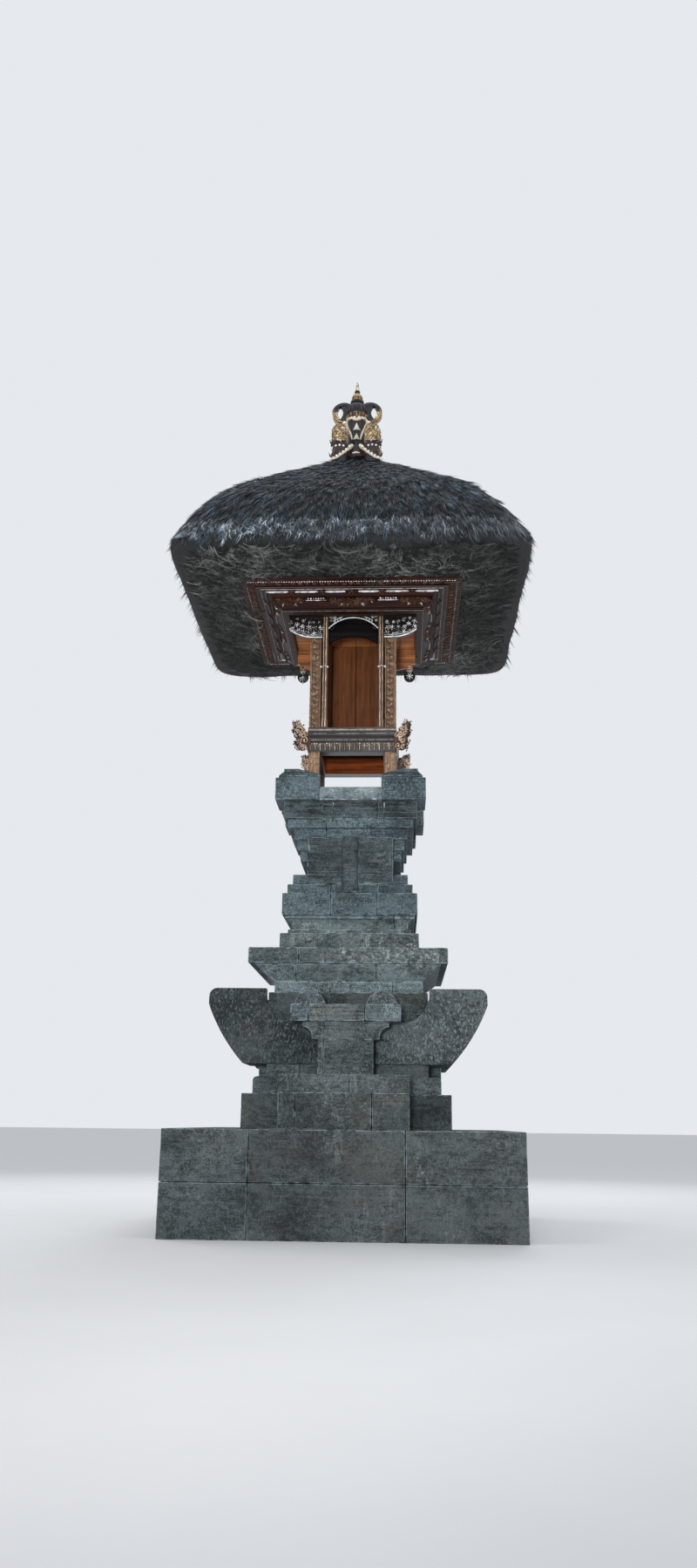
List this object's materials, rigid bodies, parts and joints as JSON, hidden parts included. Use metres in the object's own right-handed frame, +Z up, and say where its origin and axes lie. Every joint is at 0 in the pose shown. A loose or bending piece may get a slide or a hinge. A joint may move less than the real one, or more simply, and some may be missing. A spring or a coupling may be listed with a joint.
{
  "type": "stone and timber spirit house with a thatched roof",
  "caption": "Free-standing shrine: stepped stone base with flared corner wings, an open timber niche on posts, a hipped black fibre thatch and a carved finial.",
  "frame": {"origin": "on the ground under the middle of the plinth", "axes": "+Z up, the open front of the niche faces -Y, +X to the right seen from the front"},
  "size_m": [1.63, 1.63, 4.2389],
  "materials": {
    "dark_stone": "matte",
    "pale_stone": "matte",
    "carved_wood": "satin",
    "board_wood": "satin",
    "palm_fibre": "matte",
    "painted_finial": "satin"
  },
  "bodies": {
    "root": {"plinth": "dark_stone", "base_course": "dark_stone", "step_course": "dark_stone", "die_foot": "dark_stone", "die": "dark_stone", "wing_front_left": "pale_stone", "wing_front_right": "pale_stone", "wing_back_left": "pale_stone", "wing_back_right": "pale_stone", "bay_panels": "pale_stone", "bay_corbels": "dark_stone", "bay_beams": "pale_stone", "bay_bosses": "dark_stone", "bed_course": "pale_stone", "slope_course": "dark_stone", "slab": "pale_stone", "pedestal_step": "dark_stone", "pedestal_cove": "dark_stone", "pedestal_block": "pale_stone", "pedestal_cap": "dark_stone", "neck": "dark_stone", "neck_panels": "pale_stone", "corbel": "dark_stone", "tray": "pale_stone", "parapets": "dark_stone", "corner_horns": "pale_stone", "posts": "carved_wood", "floor_frame": "carved_wood", "floor_boards": "board_wood", "back_wall": "board_wood", "side_walls": "board_wood", "stiles": "board_wood", "header": "carved_wood", "fretwork": "carved_wood", "corner_leaves": "carved_wood", "ceiling": "board_wood", "cornice_front": "carved_wood", "cornice_back": "carved_wood", "cornice_left": "carved_wood", "cornice_right": "carved_wood", "thatch": "palm_fibre", "finial_cap": "painted_finial", "finial_crown": "painted_finial", "finial_spire": "painted_finial"}
  },
  "joints": []
}
